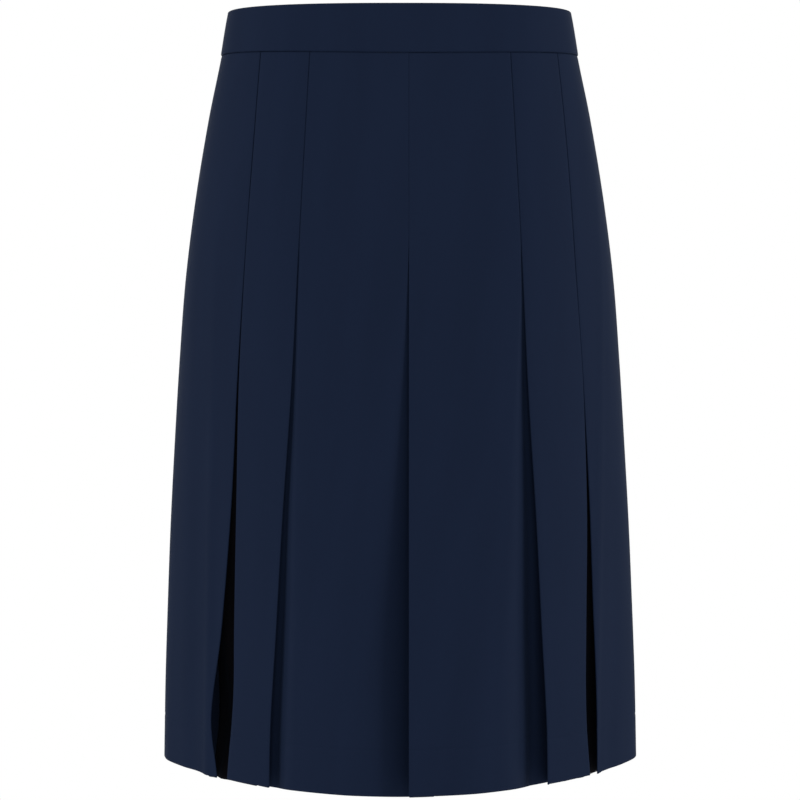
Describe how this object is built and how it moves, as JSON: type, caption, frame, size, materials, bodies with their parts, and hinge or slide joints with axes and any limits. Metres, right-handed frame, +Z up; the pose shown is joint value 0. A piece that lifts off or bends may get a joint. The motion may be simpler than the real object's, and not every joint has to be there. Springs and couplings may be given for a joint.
{
  "type": "pleated midi skirt",
  "caption": "Midi skirt with a plain waistband, box and knife pleats stitched down over the hips, and a concealed back zip, held out as worn.",
  "frame": {"origin": "centre of the waist, halfway up the waistband, where the wearer's waist holds it", "axes": "+Z up along the body, the front faces -Y, +X to the right as seen from the front"},
  "size_m": [0.4154, 0.3234, 0.6564],
  "materials": {
    "cloth": "fine matt crepe with a soft sheen, dark navy",
    "underlay": "the same weight of crepe in near black, seen only inside the outer pleats",
    "band": "the same crepe, pressed over a firm inner layer",
    "tape": "flat woven zip tape, navy",
    "nylon": "nylon coil, satin",
    "metal": "lacquered die-cast zinc, semi-gloss"
  },
  "bodies": {
    "skirt": {"front_centre": "cloth", "front_box_left": "cloth", "front_box_right": "cloth", "front_underlay_left": "underlay", "front_underlay_right": "underlay", "side_left": "cloth", "side_right": "cloth", "back_box_left": "cloth", "back_box_right": "cloth", "back_underlay_left": "underlay", "back_underlay_right": "underlay", "back_centre_left": "cloth", "back_centre_right": "cloth", "waistband": "band", "zip_tape_left": "tape", "zip_tape_right": "tape", "zip_coil": "nylon", "zip_slider": "metal"},
    "pull_tab": {"zip_pull": "metal"}
  },
  "joints": [
    {"name": "pull_tab_hinge", "type": "hinge", "parent": "skirt", "child": "pull_tab", "pos_m": [-0.0095, 0.10539, 0.01], "axis": [1, 0, 0], "range_deg": [0, 160]}
  ]
}
